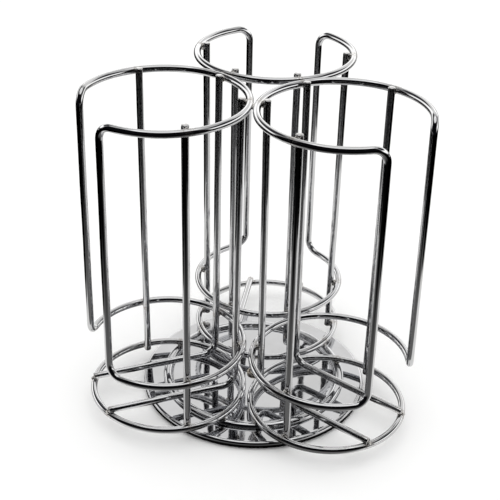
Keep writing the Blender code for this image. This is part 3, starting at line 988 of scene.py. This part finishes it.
def build_washer():
    low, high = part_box("pivot_washer")
    outline = [
        (WASHER_BORE_RADIUS + WASHER_EDGE, low.z),
        (high.x - WASHER_EDGE, low.z),
        (high.x, low.z + WASHER_EDGE),
        (high.x, high.z - WASHER_EDGE),
        (high.x - WASHER_EDGE, high.z),
        (WASHER_BORE_RADIUS + WASHER_EDGE, high.z),
        (WASHER_BORE_RADIUS, high.z - WASHER_EDGE),
        (WASHER_BORE_RADIUS, low.z + WASHER_EDGE),
    ]
    mesh = turned_mesh("pivot_washer_turned", outline, SMALL_STEPS)
    zinc = turned_metal_material("zinc_plating", ZINC_BRIGHT, ZINC_DARK, roughness=0.30)
    add_piece("pivot_washer_turned", mesh, zinc, "base", ["pivot_washer"])


def build_pad():
    """The rubber pad, with round ribs moulded on its underside."""
    low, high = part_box("rubber_base_pad")
    groove_z = low.z + PAD_GROOVE_DEPTH
    outline = [(0.0, groove_z), (PAD_HUB_RADIUS, groove_z)]
    rib = PAD_FIRST_RIB
    while rib < high.x - PAD_RIB_PITCH:
        outline += [(rib, low.z), (rib + PAD_RIB_WIDTH, low.z)]
        outline += [(rib + PAD_RIB_FOOT, groove_z), (rib + PAD_NEXT_SLOPE, groove_z)]
        rib += PAD_RIB_PITCH
    outline += [
        (high.x - PAD_BAND, low.z),
        (high.x - PAD_LOWER_CHAMFER, low.z),
        (high.x, low.z + PAD_LOWER_CHAMFER),
        (high.x, high.z - PAD_UPPER_CHAMFER),
        (high.x - PAD_UPPER_CHAMFER, high.z),
        (0.0, high.z),
    ]
    mesh = turned_mesh("rubber_pad_ribbed", outline, PAD_STEPS)
    add_piece("rubber_pad_ribbed", mesh, rubber_material(), "base", ["rubber_base_pad"],
              PAD_SHARP_EDGE)


def finish_ball_cage():
    """Gives the CAD's balls and their retainer better materials."""
    brass = turned_metal_material("retainer_brass_sheet", BRASS_BRIGHT, BRASS_DARK, roughness=0.28)
    steel = turned_metal_material("bearing_steel_polished", STEEL_BRIGHT, STEEL_DARK, roughness=0.07)
    for name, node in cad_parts.items():
        if name == "ball_retainer":
            node.data.materials.clear()
            node.data.materials.append(brass)
        elif name.startswith("bearing_ball"):
            node.data.materials.clear()
            node.data.materials.append(steel)


# Stage: floor, reflected surroundings, light and camera

def stage_square(name, half, z, material):
    mesh = bpy.data.meshes.new(name)
    corners = [(-half, -half, z), (half, -half, z), (half, half, z), (-half, half, z)]
    mesh.from_pydata(corners, [], [(0, 1, 2, 3)])
    mesh.materials.append(material)
    square = linked_object(name, mesh)
    return square


def add_floor():
    """A plain pale floor. Reflections see the lit sheet in its place."""
    paint, _, shader = material_with("pale_floor_paint", "ShaderNodeBsdfDiffuse")
    shader.inputs["Color"].default_value = FLOOR_COLOUR
    floor = stage_square("pale_floor", FLOOR_HALF, FLOOR_Z, paint)
    floor.visible_glossy = False


def add_lit_sheet():
    """What the chrome sees of the table: a pale sheet that ends in the dark room."""
    light, nodes, shader = material_with("reflected_sheet_light", "ShaderNodeEmission")
    place = nodes.object_vector()
    x, y, _ = nodes.split(place)
    left = nodes.spread(x, *SHEET_LEFT_EDGE)
    slanted = nodes.maths("SUBTRACT", x, nodes.times(y, SHEET_RIGHT_SLANT))
    right = nodes.spread(slanted, *SHEET_RIGHT_EDGE, 1.0, 0.0)
    # The front edge is nearest in the middle, and the light fades away beyond it towards the camera
    sideways = nodes.maths("ABSOLUTE", nodes.maths("SUBTRACT", x, SHEET_MIDDLE_X))
    front = nodes.maths("ADD", nodes.times(sideways, SHEET_FRONT_SLOPE), SHEET_FRONT_Y)
    beyond = nodes.times(nodes.maths("ADD", y, front), -1.0)
    near = nodes.spread(beyond, *SHEET_NEAR_FADE, 1.0, SHEET_NEAR_LEVEL)
    far = nodes.spread(beyond, *SHEET_FAR_FADE, 1.0, SHEET_FAR_LEVEL)
    # Painted shadow of the base: the sheet is dark round the axis, so the chrome sees the floor there
    # shaded
    painted_shadow = nodes.spread(nodes.length(place), *SHEET_PAINTED_SHADOW, SHEET_PAINTED_SHADOW_LEVEL, 1.0)
    level = SHEET_LEVEL
    for share in (left, right, near, far, painted_shadow):
        level = nodes.times(share, level)
    nodes.link(level, shader.inputs["Strength"])
    shader.inputs["Color"].default_value = SHEET_COLOUR
    sheet = stage_square("reflected_sheet", SHEET_HALF, SHEET_Z, light)
    sheet.visible_camera = False
    sheet.visible_diffuse = False
    sheet.visible_transmission = False
    sheet.visible_volume_scatter = False
    sheet.visible_shadow = False


def in_radians(pair):
    return tuple(math.radians(angle) for angle in pair)


def in_sines(pair):
    """Heights on the unit sphere of two elevations."""
    return tuple(math.sin(math.radians(angle)) for angle in pair)


def studio_light(nodes):
    """The reflected studio by direction: pale walls and ceiling, dark gaps, and a dark camera side."""
    x, y, z = nodes.split(nodes.add("ShaderNodeTexCoord").outputs["Generated"])
    # The azimuth is 0 towards -Y and grows towards -X
    azimuth = nodes.maths("ARCTAN2", nodes.times(x, -1.0), nodes.times(y, -1.0))
    turned = nodes.maths("ABSOLUTE", nodes.maths("SUBTRACT", azimuth, math.radians(DARK_AZIMUTH)))
    pale = nodes.mix(nodes.spread(z, *in_sines(WALL_TOP)), WALL_LIGHT, UPPER_WALL_LIGHT)
    pale = nodes.mix(nodes.spread(z, *in_sines(CEILING_RIM)), pale, CEILING_LIGHT)
    # The middle of the ceiling is less bright, so that flat chrome seen from above is not blank white
    pale = nodes.mix(nodes.spread(z, *in_sines(CEILING_MIDDLE)), pale, CEILING_MIDDLE_LIGHT)
    # A dark gap on both sides, between the low part of the wall and the ceiling
    aside = nodes.band(turned, *map(in_radians, GAP_AZIMUTHS))
    gap = nodes.band(z, *map(in_sines, GAP_ELEVATIONS))
    pale = nodes.mix(nodes.times(aside, gap), pale, GAP_DARK)
    pale = nodes.mix(nodes.band(z, *LOW_LIGHT_BAND), pale, LOW_LIGHT)
    ground = nodes.mix(nodes.spread(y, *GROUND_BEHIND), GROUND_NEAR, GROUND_FAR)
    below = nodes.spread(z, *BELOW_HORIZON, 1.0, 0.0)
    # A thin dark line along the horizon
    sky = nodes.mix(nodes.band(z, *HORIZON_BAND), nodes.mix(below, pale, ground), HORIZON_DARK)
    in_front = nodes.spread(turned, *in_radians(DARK_HALF_SPAN), 1.0, 0.0)
    low = nodes.spread(z, *in_sines(DARK_TOP), 1.0, 0.0)
    return nodes.mix(nodes.times(in_front, low), sky, SIDE_DARK)


def add_world():
    """Plain white for the floor and the background. Only reflections see the studio."""
    world = bpy.data.worlds.new("studio_surroundings")
    world.use_nodes = True
    bpy.context.scene.world = world
    nodes = Nodes(world.node_tree)
    output = nodes.add("ShaderNodeOutputWorld")
    background = nodes.add("ShaderNodeBackground")
    reflected = nodes.add("ShaderNodeLightPath").outputs["Is Glossy Ray"]
    colour = nodes.mix(reflected, BACKDROP_WHITE, studio_light(nodes))
    nodes.link(colour, background.inputs["Color"])
    nodes.link(background.outputs["Background"], output.inputs["Surface"])


def add_soft_lamp():
    data = bpy.data.lights.new("overhead_softbox", "AREA")
    data.shape = "DISK"
    data.size = LAMP_WIDTH
    data.energy = LAMP_ENERGY
    lamp = linked_object("overhead_softbox", data)
    lamp.location = LAMP_PLACE
    lamp.visible_glossy = False
    lamp.visible_camera = False


def add_camera():
    yaw, pitch, roll = CAMERA_YAW, CAMERA_PITCH, CAMERA_ROLL
    level = Vector((-math.sin(yaw), math.cos(yaw), 0.0))
    forward = level * math.cos(pitch) - Vector((0.0, 0.0, math.sin(pitch)))
    level_right = Vector((math.cos(yaw), math.sin(yaw), 0.0))
    level_up = level_right.cross(forward)
    right = level_right * math.cos(roll) + level_up * math.sin(roll)
    up = level_up * math.cos(roll) - level_right * math.sin(roll)
    data = bpy.data.cameras.new("camera")
    data.sensor_width = SENSOR
    data.lens = LENS
    data.shift_x, data.shift_y = SHIFT
    data.clip_start, data.clip_end = CAMERA_CLIP
    camera = linked_object("camera", data)
    axes = Matrix((right, up, -forward)).transposed()
    camera.matrix_world = Matrix.Translation(CAMERA_PLACE) @ axes.to_4x4()
    bpy.context.scene.camera = camera


noise.seed_set(SWAY_SEED)
wire_plating = chrome_wire_material()
weld_plating = weld_material()
build_columns(wire_plating, weld_plating)
build_top_ring_welds(weld_plating)
build_base_plate()
build_turntable_plate()
build_rivet()
build_washer()
build_pad()
finish_ball_cage()

add_floor()
add_lit_sheet()
add_world()
add_soft_lamp()
add_camera()
bpy.context.scene.view_settings.view_transform = "Standard"
